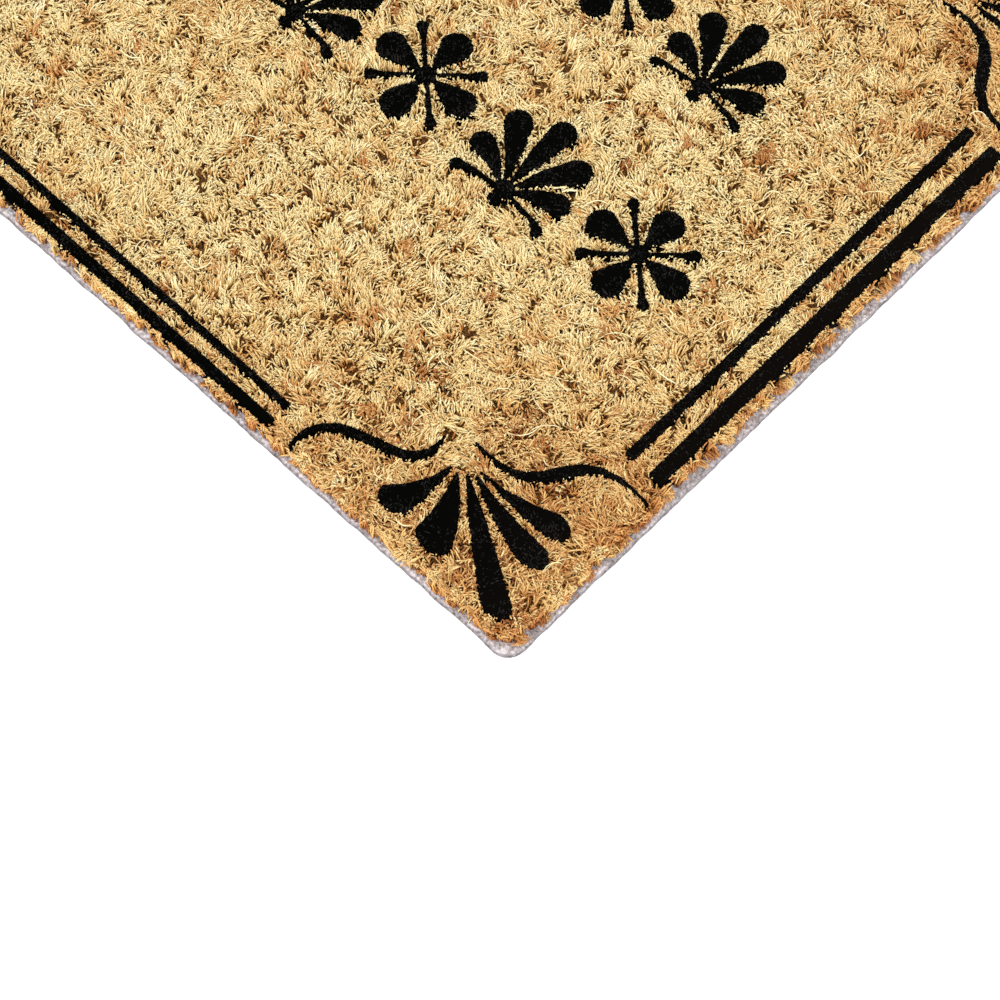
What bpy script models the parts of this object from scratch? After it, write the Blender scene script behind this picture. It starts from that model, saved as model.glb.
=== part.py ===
"""Printed coir door mat: a vinyl-backed block of coconut fibre with a black border and ornaments.

Units are metres, +Z is up. The origin is the centre of the underside, X runs along the long sides
and Y from the front long side to the back one. Every printed mark is a patch of dyed fibre, modelled
as a solid that is seated in a pocket in the top of the pile.
"""

import math

import bmesh
import bpy

MM = 0.001

# The mat itself.
MAT_LENGTH = 600 * MM
MAT_WIDTH = 400 * MM
BACKING_THICKNESS = 3.2 * MM
BACKING_CORNER_RADIUS = 9 * MM
PILE_HEIGHT = 11.5 * MM
PILE_INSET = 1.0 * MM
CORNER_SEGMENTS = 6

# How the pieces meet.
SEAT_CLEARANCE = 0.3 * MM
PRINT_CLEARANCE = 0.3 * MM
PRINT_DEPTH = 4 * MM
CUTTER_OVERSHOOT = 2 * MM

# The print's frame: how far its outer edge lies inside the mat's edge.
SIDE_MARGIN = 2.4 * MM
END_MARGIN = 6.3 * MM

# Border lines and corner ornaments are drawn on a plan that is stretched along X by this much.
STRETCH = 1.45
OUTER_LINE_WIDTH = 5.2 * MM
LINE_GAP = 5.9 * MM
INNER_LINE_WIDTH = 3.3 * MM
LINE_STOP = 92.5 * MM
LINE_END_RADIUS = 0.8 * MM
LINE_END_SEGMENTS = 1

# Corner petals on the plan, as distances from the frame's two edges: tip, bulb centre, bulb radius,
# fullness (under 1 swells early, over 1 swells late) and how far the middle bows to one side.
CORNER_PETALS = (
    ((46.6 * MM, 39.6 * MM), (51.0 * MM, 13.3 * MM), 5.7 * MM, 1.45, -1.2 * MM),
    ((44.2 * MM, 39.6 * MM), (35.0 * MM, 12.2 * MM), 6.1 * MM, 0.95, -1.2 * MM),
    ((41.9 * MM, 41.9 * MM), (8.4 * MM, 8.3 * MM), 5.3 * MM, 0.62, 0.0),
    ((39.6 * MM, 43.9 * MM), (12.1 * MM, 34.3 * MM), 5.9 * MM, 0.95, 1.3 * MM),
    ((39.6 * MM, 46.2 * MM), (13.4 * MM, 49.5 * MM), 5.6 * MM, 1.45, 1.4 * MM),
)
PETAL_TIP_HALF_WIDTH = 0.45 * MM
PETAL_SIDE_STATIONS = (0.35, 0.7)
PETAL_ARC_SEGMENTS = 6

# The S-scrolls beside the petals, on the same plan: the points that their middle lines pass through.
SCROLL_ALONG_SIDE = (
    (54.6 * MM, 48.0 * MM),
    (53.9 * MM, 42.0 * MM),
    (55.0 * MM, 35.5 * MM),
    (58.6 * MM, 30.4 * MM),
    (64.5 * MM, 27.2 * MM),
    (71.0 * MM, 24.4 * MM),
    (77.3 * MM, 20.8 * MM),
    (82.0 * MM, 14.6 * MM),
    (84.2 * MM, 7.2 * MM),
    (84.0 * MM, 0.6 * MM),
)
SCROLL_ALONG_END = (
    (46.9 * MM, 54.5 * MM),
    (40.5 * MM, 53.6 * MM),
    (34.0 * MM, 54.6 * MM),
    (28.8 * MM, 58.0 * MM),
    (25.0 * MM, 63.6 * MM),
    (22.4 * MM, 69.8 * MM),
    (19.2 * MM, 76.2 * MM),
    (13.8 * MM, 81.5 * MM),
    (6.8 * MM, 83.3 * MM),
    (-1.2 * MM, 82.9 * MM),
)
SCROLL_HALF_WIDTH = 2.2 * MM
SCROLL_TIP_HALF_WIDTH = 0.45 * MM
SCROLL_SWELL = 1.25
SCROLL_STATIONS = 12

# Rows of ornaments. Each ornament is drawn for a cell of CELL_WIDTH by CELL_HEIGHT and fitted to its
# row's own cell.
LOWER_ROW = {"name": "lower", "count": 8, "centre": -34.6 * MM, "height": 51 * MM, "end_gap": 27.6 * MM}
UPPER_ROW = {"name": "upper", "count": 7, "centre": 57.4 * MM, "height": 48 * MM, "end_gap": 63.1 * MM}
CELL_WIDTH = 61.5 * MM
CELL_HEIGHT = 51 * MM
HUB_RADIUS = 4.5 * MM
ROW_MIN_GAP = 2.0 * MM
BROAD_SIDE_STATIONS = (0.5,)
BROAD_ARC_SEGMENTS = 5
THIN_SIDE_STATIONS = (0.75,)
THIN_ARC_SEGMENTS = 4
THIN_BULB_RADIUS = 4 * MM

# Ornament petals: direction in degrees, reach from the hub's centre, bulb radius, fullness, root
# half-width and bow.
PALMETTE_HUB = (0.0, -16.5 * MM)
PALMETTE_PETALS = (
    (-12, 26.5 * MM, 2.7 * MM, 5.0, 0.9 * MM, 1.5 * MM),
    (24, 29.5 * MM, 5.9 * MM, 1.0, 0.9 * MM, 1.0 * MM),
    (57, 38.5 * MM, 6.5 * MM, 0.9, 0.9 * MM, 1.0 * MM),
    (90, 42.0 * MM, 6.2 * MM, 0.7, 0.9 * MM, 0.0),
    (123, 38.5 * MM, 6.5 * MM, 0.9, 0.9 * MM, -1.0 * MM),
    (156, 29.5 * MM, 5.9 * MM, 1.0, 0.9 * MM, -1.0 * MM),
    (192, 26.5 * MM, 2.7 * MM, 5.0, 0.9 * MM, -1.5 * MM),
    (270, 9.0 * MM, 3.4 * MM, 1.0, 1.8 * MM, 0.0),
)
ROSETTE_HUB = (0.0, 0.0)
ROSETTE_PETALS = (
    (0, 27.5 * MM, 7.2 * MM, 0.9, 1.0 * MM, 0.0),
    (42, 26.5 * MM, 2.6 * MM, 5.0, 0.9 * MM, 0.0),
    (90, 25.5 * MM, 7.6 * MM, 0.9, 1.0 * MM, 0.0),
    (138, 26.5 * MM, 2.6 * MM, 5.0, 0.9 * MM, 0.0),
    (180, 27.5 * MM, 7.2 * MM, 0.9, 1.0 * MM, 0.0),
    (222, 26.5 * MM, 2.6 * MM, 5.0, 0.9 * MM, 0.0),
    (270, 25.5 * MM, 7.6 * MM, 0.9, 1.0 * MM, 0.0),
    (318, 26.5 * MM, 2.6 * MM, 5.0, 0.9 * MM, 0.0),
)

# Heights that follow from the sizes above.
PILE_BOTTOM = BACKING_THICKNESS + SEAT_CLEARANCE
PILE_TOP = PILE_BOTTOM + PILE_HEIGHT
POCKET_FLOOR = PILE_TOP - PRINT_DEPTH
FRAME_HALF_LENGTH = MAT_LENGTH / 2 - END_MARGIN
FRAME_HALF_WIDTH = MAT_WIDTH / 2 - SIDE_MARGIN


def clear_scene():
    for obj in list(bpy.data.objects):
        bpy.data.objects.remove(obj, do_unlink=True)


def make_material(name, colour, roughness):
    material = bpy.data.materials.new(name)
    material.use_nodes = True
    shader = material.node_tree.nodes["Principled BSDF"]
    shader.inputs["Base Color"].default_value = (*colour, 1.0)
    shader.inputs["Roughness"].default_value = roughness
    shader.inputs["Metallic"].default_value = 0.0
    return material


def rounded_rectangle(length, width, radius, segments):
    """Counter-clockwise outline of a rectangle centred on the origin, with round corners."""
    outline = []
    corners = ((1, 1, 0), (-1, 1, 90), (-1, -1, 180), (1, -1, 270))
    for side_x, side_y, start in corners:
        centre_x = side_x * (length / 2 - radius)
        centre_y = side_y * (width / 2 - radius)
        for step in range(segments + 1):
            angle = math.radians(start + 90 * step / segments)
            outline.append((centre_x + radius * math.cos(angle), centre_y + radius * math.sin(angle)))
    return outline


def petal(root, bulb, root_half_width, bulb_radius, fullness, bow, stations, segments):
    """Outline of a teardrop, counter-clockwise from one side of its root, round its bulb, to the other.

    bow shifts the middle of the petal to the left of the direction from root to bulb. stations are the
    places along each side that get a point, and segments is the number of facets round the bulb.
    """
    along_x, along_y = bulb[0] - root[0], bulb[1] - root[1]
    reach = math.hypot(along_x, along_y)
    along_x, along_y = along_x / reach, along_y / reach

    def place(distance, left):
        return (
            root[0] + along_x * distance - along_y * left,
            root[1] + along_y * distance + along_x * left,
        )

    def side(places, sign):
        points = []
        for station in places:
            half_width = root_half_width + (bulb_radius - root_half_width) * station**fullness
            middle = bow * 4 * station * (1 - station)
            points.append(place(reach * station, middle + sign * half_width))
        return points

    outline = side((0, *stations), -1)
    for step in range(segments + 1):
        angle = math.pi * (step / segments - 0.5)
        outline.append(place(reach + bulb_radius * math.cos(angle), bulb_radius * math.sin(angle)))
    return outline + side((*reversed(stations), 0), 1)


def fan(hub, petals):
    """One outline of petals that all start on a small hub, listed counter-clockwise."""
    outline = []
    for degrees, reach, radius, fullness, root_half_width, bow in petals:
        direction = (math.cos(math.radians(degrees)), math.sin(math.radians(degrees)))
        root = (hub[0] + HUB_RADIUS * direction[0], hub[1] + HUB_RADIUS * direction[1])
        bulb_distance = max(reach - radius, HUB_RADIUS + radius / 4)
        bulb = (hub[0] + bulb_distance * direction[0], hub[1] + bulb_distance * direction[1])
        if radius < THIN_BULB_RADIUS:
            detail = (THIN_SIDE_STATIONS, THIN_ARC_SEGMENTS)
        else:
            detail = (BROAD_SIDE_STATIONS, BROAD_ARC_SEGMENTS)
        outline += petal(root, bulb, root_half_width, radius, fullness, bow, *detail)
    return outline


def smooth_point(points, position):
    """Point and direction at position (0 to 1) on the Catmull-Rom curve through the points."""
    spans = len(points) - 1
    span = min(int(position * spans), spans - 1)
    t = position * spans - span
    before, start = points[max(span - 1, 0)], points[span]
    end, after = points[span + 1], points[min(span + 2, spans)]
    place, direction = [], []
    for a, b, c, d in zip(before, start, end, after):
        linear, square, cube = c - a, 2 * a - 5 * b + 4 * c - d, 3 * b - a - 3 * c + d
        place.append(b + (linear * t + square * t**2 + cube * t**3) / 2)
        direction.append((linear + 2 * square * t + 3 * cube * t**2) / 2)
    return place, direction


def scroll(points):
    """Outline of a stroke along the points, which swells from a thin tip to its middle and back."""
    left_side, right_side = [], []
    for station in range(SCROLL_STATIONS + 1):
        position = station / SCROLL_STATIONS
        (x, y), (along_x, along_y) = smooth_point(points, position)
        swell = abs(math.sin(math.pi * position)) ** SCROLL_SWELL
        half_width = SCROLL_TIP_HALF_WIDTH + (SCROLL_HALF_WIDTH - SCROLL_TIP_HALF_WIDTH) * swell
        scale = half_width / math.hypot(along_x, along_y)
        left_side.append((x - along_y * scale, y + along_x * scale))
        right_side.append((x + along_y * scale, y - along_x * scale))
    return right_side + left_side[::-1]


def counter_clockwise(outline):
    following = outline[1:] + outline[:1]
    area = sum(a[0] * b[1] - b[0] * a[1] for a, b in zip(outline, following))
    return outline if area > 0 else outline[::-1]


def grown(outline, distance):
    """The counter-clockwise outline moved outward by distance, with mitred corners."""
    moved = []
    for index, (x, y) in enumerate(outline):
        before, after = outline[index - 1], outline[(index + 1) % len(outline)]
        length_in = math.hypot(x - before[0], y - before[1])
        length_out = math.hypot(after[0] - x, after[1] - y)
        normal_in = ((y - before[1]) / length_in, (before[0] - x) / length_in)
        normal_out = ((after[1] - y) / length_out, (x - after[0]) / length_out)
        share = distance / (1 + normal_in[0] * normal_out[0] + normal_in[1] * normal_out[1])
        moved.append((x + (normal_in[0] + normal_out[0]) * share, y + (normal_in[1] + normal_out[1]) * share))
    return moved


def prism(name, outline, bottom, top, material, parent):
    """A straight-sided solid on a counter-clockwise outline, with its origin at the outline's middle."""
    middle_x = sum(x for x, _ in outline) / len(outline)
    middle_y = sum(y for _, y in outline) / len(outline)
    shape = bmesh.new()
    base = [shape.verts.new((x - middle_x, y - middle_y, 0)) for x, y in outline]
    floor = shape.faces.new(base[::-1])
    extruded = bmesh.ops.extrude_face_region(shape, geom=[floor])["geom"]
    lifted = [item for item in extruded if isinstance(item, bmesh.types.BMVert)]
    bmesh.ops.translate(shape, vec=(0, 0, top - bottom), verts=lifted)
    bmesh.ops.recalc_face_normals(shape, faces=shape.faces)
    mesh = bpy.data.meshes.new(name)
    shape.to_mesh(mesh)
    shape.free()
    mesh.materials.append(material)
    obj = bpy.data.objects.new(name, mesh)
    obj.location = (middle_x, middle_y, bottom)
    obj.parent = parent
    bpy.context.scene.collection.objects.link(obj)
    return obj


def border_lines():
    """Name and outline of the two lines along each side; each stops short of the corners."""
    marks = {}
    inner_offset = OUTER_LINE_WIDTH + LINE_GAP
    for line, offset, thickness in (("outer", 0, OUTER_LINE_WIDTH), ("inner", inner_offset, INNER_LINE_WIDTH)):
        along_sides = rounded_rectangle(
            2 * (FRAME_HALF_LENGTH - LINE_STOP * STRETCH), thickness, LINE_END_RADIUS, LINE_END_SEGMENTS
        )
        along_ends = rounded_rectangle(
            thickness * STRETCH, 2 * (FRAME_HALF_WIDTH - LINE_STOP), LINE_END_RADIUS, LINE_END_SEGMENTS
        )
        side_y = FRAME_HALF_WIDTH - offset - thickness / 2
        end_x = FRAME_HALF_LENGTH - (offset + thickness / 2) * STRETCH
        marks[f"{line}_line_front"] = [(x, y - side_y) for x, y in along_sides]
        marks[f"{line}_line_back"] = [(x, y + side_y) for x, y in along_sides]
        marks[f"{line}_line_left"] = [(x - end_x, y) for x, y in along_ends]
        marks[f"{line}_line_right"] = [(x + end_x, y) for x, y in along_ends]
    return marks


def corner_marks():
    """Name and outline of the petals and scrolls in the four corners."""
    plan = {}
    detail = (PETAL_SIDE_STATIONS, PETAL_ARC_SEGMENTS)
    for number, (tip, bulb, radius, fullness, bow) in enumerate(CORNER_PETALS, 1):
        plan[f"petal_{number}"] = petal(tip, bulb, PETAL_TIP_HALF_WIDTH, radius, fullness, bow, *detail)
    plan["scroll_along_side"] = scroll(SCROLL_ALONG_SIDE)
    plan["scroll_along_end"] = scroll(SCROLL_ALONG_END)

    marks = {}
    corners = (("front_right", 1, -1), ("front_left", -1, -1), ("back_left", -1, 1), ("back_right", 1, 1))
    for corner, side_x, side_y in corners:
        for mark, outline in plan.items():
            marks[f"{corner}_{mark}"] = [
                (side_x * (FRAME_HALF_LENGTH - p * STRETCH), side_y * (FRAME_HALF_WIDTH - q))
                for p, q in outline
            ]
    return marks


def ornament_row(row):
    """Name and outline of a row's ornaments, evenly spaced between the inner border lines."""
    inner_edge = FRAME_HALF_LENGTH - (OUTER_LINE_WIDTH + LINE_GAP + INNER_LINE_WIDTH) * STRETCH
    pitch = 2 * (inner_edge - row["end_gap"]) / row["count"]
    scale_x = (pitch - ROW_MIN_GAP) / (CELL_WIDTH - ROW_MIN_GAP)
    scale_y = row["height"] / CELL_HEIGHT
    marks = {}
    for index in range(row["count"]):
        steps_from_centre = index - (row["count"] - 1) / 2
        is_palmette = int(abs(steps_from_centre)) % 2 == row["count"] % 2
        hub, petals = (PALMETTE_HUB, PALMETTE_PETALS) if is_palmette else (ROSETTE_HUB, ROSETTE_PETALS)
        marks[f"{row['name']}_ornament_{index + 1}"] = [
            (steps_from_centre * pitch + x * scale_x, row["centre"] + y * scale_y) for x, y in fan(hub, petals)
        ]
    return marks


def build():
    clear_scene()
    mat = bpy.data.objects.new("door_mat", None)
    bpy.context.scene.collection.objects.link(mat)

    vinyl = make_material("backing_vinyl", (0.55, 0.53, 0.56), 0.85)
    coir = make_material("natural_coir", (0.62, 0.42, 0.20), 0.9)
    dyed_coir = make_material("dyed_coir", (0.012, 0.011, 0.012), 0.7)

    backing_outline = rounded_rectangle(MAT_LENGTH, MAT_WIDTH, BACKING_CORNER_RADIUS, CORNER_SEGMENTS)
    prism("backing_sheet", backing_outline, 0, BACKING_THICKNESS, vinyl, mat)
    pile_outline = rounded_rectangle(
        MAT_LENGTH - 2 * PILE_INSET,
        MAT_WIDTH - 2 * PILE_INSET,
        BACKING_CORNER_RADIUS - PILE_INSET,
        CORNER_SEGMENTS,
    )
    pile = prism("coir_pile", pile_outline, PILE_BOTTOM, PILE_TOP, coir, mat)

    cutters = bpy.data.collections.new("pocket_cutters")
    bpy.context.scene.collection.children.link(cutters)
    marks = {**border_lines(), **corner_marks(), **ornament_row(LOWER_ROW), **ornament_row(UPPER_ROW)}
    for name, outline in marks.items():
        outline = counter_clockwise(outline)
        prism(name, outline, POCKET_FLOOR + SEAT_CLEARANCE, PILE_TOP, dyed_coir, mat)
        pocket = grown(outline, PRINT_CLEARANCE)
        cutter = prism(f"{name}_pocket", pocket, POCKET_FLOOR, PILE_TOP + CUTTER_OVERSHOOT, dyed_coir, mat)
        cutter.hide_render = True
        cutter.display_type = "WIRE"
        bpy.context.scene.collection.objects.unlink(cutter)
        cutters.objects.link(cutter)

    pockets = pile.modifiers.new("pockets", "BOOLEAN")
    pockets.operation = "DIFFERENCE"
    pockets.operand_type = "COLLECTION"
    pockets.collection = cutters


build()
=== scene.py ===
"""Looks of the printed coir door mat: every fibre is real geometry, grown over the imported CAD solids.

The CAD pile and its printed marks are replaced by fibres: natural ones in a grid of fields, and black
ones in one piece for each printed mark, over a slab of matted dye. The print's edge cuts the fibres that
cross it, so that natural and black fibres meet in a clean line. The CAD backing is replaced by a cast
sheet with a wavy lip.
"""

import math

import bpy
import numpy as np
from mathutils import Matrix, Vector


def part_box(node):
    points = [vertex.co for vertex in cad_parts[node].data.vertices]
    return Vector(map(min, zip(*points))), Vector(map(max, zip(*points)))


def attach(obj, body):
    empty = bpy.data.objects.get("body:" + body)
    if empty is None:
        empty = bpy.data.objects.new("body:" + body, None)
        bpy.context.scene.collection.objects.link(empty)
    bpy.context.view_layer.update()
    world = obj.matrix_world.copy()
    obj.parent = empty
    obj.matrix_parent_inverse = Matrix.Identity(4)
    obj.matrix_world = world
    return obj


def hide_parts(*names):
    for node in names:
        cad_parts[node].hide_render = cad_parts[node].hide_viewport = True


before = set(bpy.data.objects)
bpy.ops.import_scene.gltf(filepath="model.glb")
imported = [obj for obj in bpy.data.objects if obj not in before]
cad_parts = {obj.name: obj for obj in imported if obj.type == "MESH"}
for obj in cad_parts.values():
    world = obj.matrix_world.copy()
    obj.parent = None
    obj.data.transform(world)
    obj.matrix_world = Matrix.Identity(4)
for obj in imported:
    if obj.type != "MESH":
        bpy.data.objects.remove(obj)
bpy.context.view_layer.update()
MM = 0.001

# ---- places that the CAD model gives ----
HALF_LENGTH, HALF_WIDTH, BACKING_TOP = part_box("backing_sheet")[1]
PILE_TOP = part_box("coir_pile")[1][2]
CORNER_RADIUS = 9 * MM
MARKS = sorted(set(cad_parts) - {"backing_sheet", "coir_pile"})
NATURAL = -1

# ---- a fibre: WHOLE and BLUNT are the places of its rings, where it ends in a tip and where it is cut ----
FIBRE_RADIUS = 0.505 * MM
TIP_TAPER = 0.38
EARLY_LEAN = 0.35
CURL_TURN = 1.15
SIDES = 3
WHOLE = np.array([0.0, 0.45, 0.89, 1.0])
BLUNT = np.array([0.0, 0.45, 0.94, 1.0])
CUT_STEPS = 15

# ---- tufts of fibres: shares are of all tufts or fibres, and ranges of sink are in millimetres ----
TUFT_SPACING = 5.0 * MM
TUFTS_MISSING = 0.012
TUFT_LEAN = 1.9 * MM
FLOW_LEAN, FLOW_SIZE = 0.7 * MM, 27 * MM
FIBRES_PER_TUFT = 24
TUFT_SPREAD = 1.4 * MM
FAN_OUT = 0.65
TUFT_SINK = 0.6 * MM
LOW_TUFTS, LOW_TUFT_SINK = 0.04, 2.0 * MM
DOME, DOME_LIMIT = 0.22 * MM, 6
DEEP_FIBRES, DEEP_SINK = 0.12, (0.5, 3.0)
TUFT_TONE, TUFT_TONE_SPREAD = 0.67, 0.10
TONE_CLOUD, TONE_CLOUD_SIZE = 0.06, 45 * MM
RED_TUFTS, RED_TONE_DROP = 0.12, (0.15, 0.44)
FIBRE_TONE_SPREAD = 0.075

# ---- short fibres between the tufts ----
LOOSE_FIBRES = 42000
LOOSE_LEAN = 1.6 * MM
LOOSE_SINK = (1.6, 4.4)
LOOSE_TONE = (0.38, 0.13)

# ---- the pile as a whole: it is wilder and darker in zones that start at its edges and corners ----
ROOT_LEVEL = PILE_TOP - 7.5 * MM
PILE_RISE = 0.5 * MM
ROOTS_INSIDE = 2.2 * MM
WILD_SIZE, HOLLOW_SIZE = 38 * MM, 4.6 * MM
WILD_EDGE, CORNER_ZONE, DARK_CORNER_ZONE = 14 * MM, 110 * MM, 150 * MM
EDGE_TONE_DROP, CORNER_TONE_DROP = 0.25, 0.17
EDGE_TONE_ZONE, CORNER_TONE_ZONE = 22 * MM, 240 * MM
DYED_BASE_LEVEL = PILE_TOP - 0.8 * MM
FIELD_COLUMNS, FIELD_ROWS = 6, 4

# ---- the ledge of backing that the pile leaves bare, in millimetres: its width and how far that wanders ----
SIDE_LEDGE, SIDE_LEDGE_WANDER = 0.85, 0.35
END_LEDGE, END_LEDGE_WANDER = 2.55, 1.65
CORNER_LEDGE = 3.5

# ---- the bed of roots ----
BED_STEP = 2.1 * MM
MOUND_RADIUS, MOUND_HEIGHT, MOUND_REACH = 2.1 * MM, 3.3, 3
BED_MARGIN = 2.5 * MM

# ---- fringe, strays and fuzz ----
FRINGE_BUNDLES, FIBRES_PER_BUNDLE = 1350, 18
BUNDLE_SPREAD = 0.85 * MM
FRINGE_DEPTH = 4.6 * MM
HANGING_AT_ENDS, HANGING_AT_SIDES = 0.40, 0.14
STRAYS, STRAY_RINGS = 800, 9
STRAY_RADIUS = 0.24 * MM
FUZZ_STRANDS = 10000
FUZZ_RADIUS = 0.14 * MM

# ---- the cast sheet: rings by inset and height, in millimetres ----
OUTLINE_STEPS = 900
OUTER_RINGS = ((0.9, 0.0), (0.35, 0.25), (0.0, 0.9))
TOP_RINGS = ((0.0, -1.1), (0.5, -0.35), (1.2, 0.0), (2.4, 0.0), (4.5, 0.0), (8.0, 0.0), (14.0, 0.0))
SIDE_OVERHANG = 0.8

# ---- random fields and the grid of marks ----
NOISE_CELLS = 64
NOISE_SHIFT = (17.3, 5.7)
GRID_STEP = 0.4 * MM
BORDER_STEPS = 5

# ---- colours, by position along each ramp ----
NATURAL_TONES = (
    (0.00, (0.21, 0.062, 0.018)),
    (0.22, (0.50, 0.210, 0.062)),
    (0.43, (0.68, 0.437, 0.172)),
    (0.68, (0.765, 0.622, 0.325)),
    (0.86, (0.795, 0.692, 0.412)),
    (1.00, (0.83, 0.755, 0.540)),
)
# painted shade along the natural fibres: darker and redder towards the root, where the pile shades them
NATURAL_PAINTED_SHADE = (
    (0.0, (0.72, 0.38, 0.13)),
    (0.35, (0.98, 0.80, 0.50)),
    (0.65, (1.03, 0.97, 0.83)),
    (1.0, (0.89, 0.92, 0.90)),
)
BLACK_TONES = (
    (0.0, (0.0003, 0.0003, 0.0003)),
    (0.6, (0.0010, 0.0010, 0.0009)),
    (1.0, (0.0120, 0.0075, 0.0050)),
)
# painted shade: each dyed fibre darkened to half towards its root; the matted dye reads it by its place from
# front to back
BLACK_PAINTED_SHADE = ((0.0, (0.5, 0.5, 0.5)), (1.0, (1.0, 1.0, 1.0)))
FUZZ_TONES = (
    (0.0, (0.12, 0.095, 0.085)),
    (0.5, (0.32, 0.28, 0.275)),
    (1.0, (0.56, 0.53, 0.54)),
)
# painted shade: each grey strand a little darker towards its root
FUZZ_PAINTED_SHADE = ((0.0, (0.8, 0.8, 0.8)), (1.0, (1.05, 1.05, 1.05)))
STREAKS = ((0.3, (0.86, 0.84, 0.80)), (0.7, (1.06, 1.05, 1.02)))
# the matted roots' brown, darkened far below the fibres' tones as painted shade, so the pits between the
# tufts read dark
ROOT_TONES_AND_PAINTED_SHADE = ((0.42, (0.012, 0.005, 0.002)), (0.60, (0.20, 0.085, 0.022)))
DYED_ROOT_TONES = ((0.35, (0.003, 0.003, 0.003)), (0.65, (0.012, 0.010, 0.009)))
VINYL_GRIT = (
    (0.30, (0.11, 0.090, 0.085)),
    (0.50, (0.34, 0.305, 0.305)),
    (0.68, (0.55, 0.525, 0.54)),
)
VINYL_CLOUD = ((0.3, (0.80, 0.78, 0.79)), (0.7, (1.08, 1.07, 1.08)))
# painted shade and light on the backing by height: darker down the cut edge towards the foot, lighter on top
VINYL_PAINTED_SHADE = (
    (0.0, (0.27, 0.26, 0.27)),
    (0.8, (0.54, 0.53, 0.54)),
    (1.0, (1.25, 1.25, 1.25)),
)

# ---- studio ----
FLOOR_SIZE, FLOOR_LEVEL = 8, -0.05 * MM
FLOOR_COLOUR = (0.93, 0.93, 0.93, 1)
SKY_COLOUR, SKY_STRENGTH = (1.0, 1.0, 1.0, 1), 2.05
KEY_STRENGTH, KEY_WIDTH = 1.45, math.radians(60)
KEY_DIRECTION = (0.35, -0.8, 1.3)
CAMERA_PLACE = (0.8109, -0.7383, 1.8173)
CAMERA_AZIMUTH, CAMERA_ELEVATION = math.radians(43.84), math.radians(65.84)
CAMERA_SENSOR, CAMERA_LENS = 36, 175.4
CAMERA_NEAR, CAMERA_FAR = 0.05, 30
EXPOSURE, GAMMA = -0.14, 1.12

rng = np.random.default_rng(20)


# ---------------------------------------------------------------- smooth random fields
def value_noise(x, y, size, seed):
    """Smooth random values from -1 to 1 at points x, y, with features about size across."""
    generator = np.random.default_rng(seed)
    table = generator.uniform(-1, 1, (NOISE_CELLS, NOISE_CELLS))
    u, v = x / size + NOISE_SHIFT[0], y / size + NOISE_SHIFT[1]
    i, j = np.floor(u).astype(int), np.floor(v).astype(int)
    s, t = u - i, v - j
    s, t = s * s * (3 - 2 * s), t * t * (3 - 2 * t)
    i_next, j_next = (i + 1) % NOISE_CELLS, (j + 1) % NOISE_CELLS
    i, j = i % NOISE_CELLS, j % NOISE_CELLS
    low = table[i, j] * (1 - s) + table[i_next, j] * s
    high = table[i, j_next] * (1 - s) + table[i_next, j_next] * s
    return low * (1 - t) + high * t


def edge_distance(x, y):
    """How far inside the mat's rounded outline a point lies."""
    over_x = np.abs(x) - (HALF_LENGTH - CORNER_RADIUS)
    over_y = np.abs(y) - (HALF_WIDTH - CORNER_RADIUS)
    outside = np.hypot(np.maximum(over_x, 0), np.maximum(over_y, 0))
    return CORNER_RADIUS - outside - np.minimum(np.maximum(over_x, over_y), 0)


def outward(x, y):
    """Unit direction to the nearest edge."""
    over_x = np.abs(x) - (HALF_LENGTH - CORNER_RADIUS)
    over_y = np.abs(y) - (HALF_WIDTH - CORNER_RADIUS)
    in_corner = (over_x > 0) & (over_y > 0)
    towards_x = np.where(in_corner, over_x, over_x >= over_y) * np.sign(x)
    towards_y = np.where(in_corner, over_y, over_x < over_y) * np.sign(y)
    length = np.maximum(np.hypot(towards_x, towards_y), 1e-9)
    return towards_x / length, towards_y / length


def pile_inset(x, y):
    """How far the pile's ragged foot lies inside the mat's edge; the short ends show more backing."""
    at_end = np.clip((np.abs(x) - HALF_LENGTH + 12 * MM) / (8 * MM), 0, 1)
    wander = value_noise(x, y, 9 * MM, 3) * 0.6 + value_noise(x, y, 34 * MM, 4) * 0.7
    near_corner = np.clip(1 - (HALF_LENGTH + HALF_WIDTH - np.abs(x) - np.abs(y)) / (30 * MM), 0, 1)
    along_side = SIDE_LEDGE + SIDE_LEDGE_WANDER * wander
    more_at_end = at_end * (END_LEDGE + END_LEDGE_WANDER * wander)
    return (along_side + more_at_end + CORNER_LEDGE * near_corner) * MM


# ---------------------------------------------------------------- which mark a point is in
def rasterise_marks():
    """Grid over the mat of the number of the mark at each cell, or NATURAL."""
    columns = int(2 * HALF_LENGTH / GRID_STEP) + 1
    rows = int(2 * HALF_WIDTH / GRID_STEP) + 1
    grid = np.full((columns, rows), NATURAL, np.int16)
    for number, name in enumerate(MARKS):
        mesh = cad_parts[name].data
        mesh.calc_loop_triangles()
        points = np.array([vertex.co for vertex in mesh.vertices])
        top = points[:, 2].max()
        for triangle in mesh.loop_triangles:
            corners = points[list(triangle.vertices)]
            if corners[:, 2].min() < top - 0.1 * MM:
                continue
            fill_triangle(grid, corners[:, :2], number)
    return grid


def fill_triangle(grid, corners, number):
    """Write a mark's number in every cell of the grid whose centre is in the triangle."""
    cells = (corners + (HALF_LENGTH, HALF_WIDTH)) / GRID_STEP
    low = np.maximum(np.floor(cells.min(0)).astype(int), 0)
    high = np.minimum(np.ceil(cells.max(0)).astype(int) + 1, grid.shape)
    i, j = np.meshgrid(np.arange(low[0], high[0]), np.arange(low[1], high[1]), indexing="ij")
    signs = []
    for start, end in zip(cells, np.roll(cells, -1, axis=0)):
        along = end - start
        signs.append(along[0] * (j - start[1]) - along[1] * (i - start[0]))
    left_of_all = np.all([sign >= -1e-6 for sign in signs], axis=0)
    right_of_all = np.all([sign <= 1e-6 for sign in signs], axis=0)
    inside = left_of_all | right_of_all
    grid[i[inside], j[inside]] = number


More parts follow.
